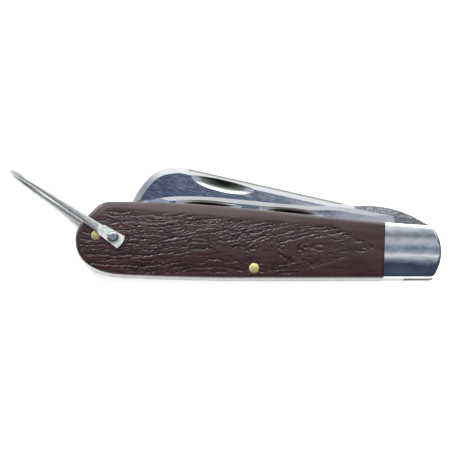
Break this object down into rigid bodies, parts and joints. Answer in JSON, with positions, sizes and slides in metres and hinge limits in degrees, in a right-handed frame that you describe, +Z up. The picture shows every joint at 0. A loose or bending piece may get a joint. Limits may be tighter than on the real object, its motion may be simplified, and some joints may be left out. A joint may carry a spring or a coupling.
{
  "type": "folding knife",
  "caption": "Closed folding jack knife: wide sheepsfoot blade and screwdriver blade on one pivot, dark moulded grips, metal end caps and a swinging U-shaped shackle at the butt.",
  "frame": {"origin": "on the surface that the knife lies on, under the middle of the closed knife's bounding box", "axes": "+X along the handle from the butt to the head, +Y from the handle's back towards the blades' spines, +Z up through the handle's thickness"},
  "size_m": [0.113, 0.0296, 0.0193],
  "materials": {
    "cover": "moulded wood grain, gloss",
    "bolster": "polished nickel silver",
    "liner": "satin",
    "spring": "polished on the back",
    "blade": "fine ground, mirror polished spine",
    "brass_pin": "ground flush",
    "steel_pin": "domed and polished",
    "shackle": "polished wire, satin tabs"
  },
  "bodies": {
    "handle": {"front_scale": "cover", "rear_scale": "cover", "front_bolster": "bolster", "rear_bolster": "bolster", "front_liner": "liner", "centre_liner": "liner", "rear_liner": "liner", "front_backspring": "spring", "rear_backspring": "spring", "pivot_pin": "steel_pin", "spring_pin": "brass_pin", "end_pin": "brass_pin", "bail_pin": "steel_pin"},
    "sheepsfoot": {"sheepsfoot_blade": "blade"},
    "screwdriver": {"screwdriver_blade": "blade"},
    "shackle": {"bail": "shackle"}
  },
  "joints": [
    {"name": "sheepsfoot_pivot", "type": "hinge", "parent": "handle", "child": "sheepsfoot", "pos_m": [0.05044, -0.00768, 0.00966], "axis": [0, 0, -1], "range_deg": [0, 180]},
    {"name": "screwdriver_pivot", "type": "hinge", "parent": "handle", "child": "screwdriver", "pos_m": [0.05044, -0.00768, 0.00966], "axis": [0, 0, -1], "range_deg": [0, 180]},
    {"name": "shackle_swing", "type": "hinge", "parent": "handle", "child": "shackle", "pos_m": [-0.02892, -0.00438, 0.00966], "axis": [0, 0, 1], "range_deg": [-112, 188]}
  ]
}
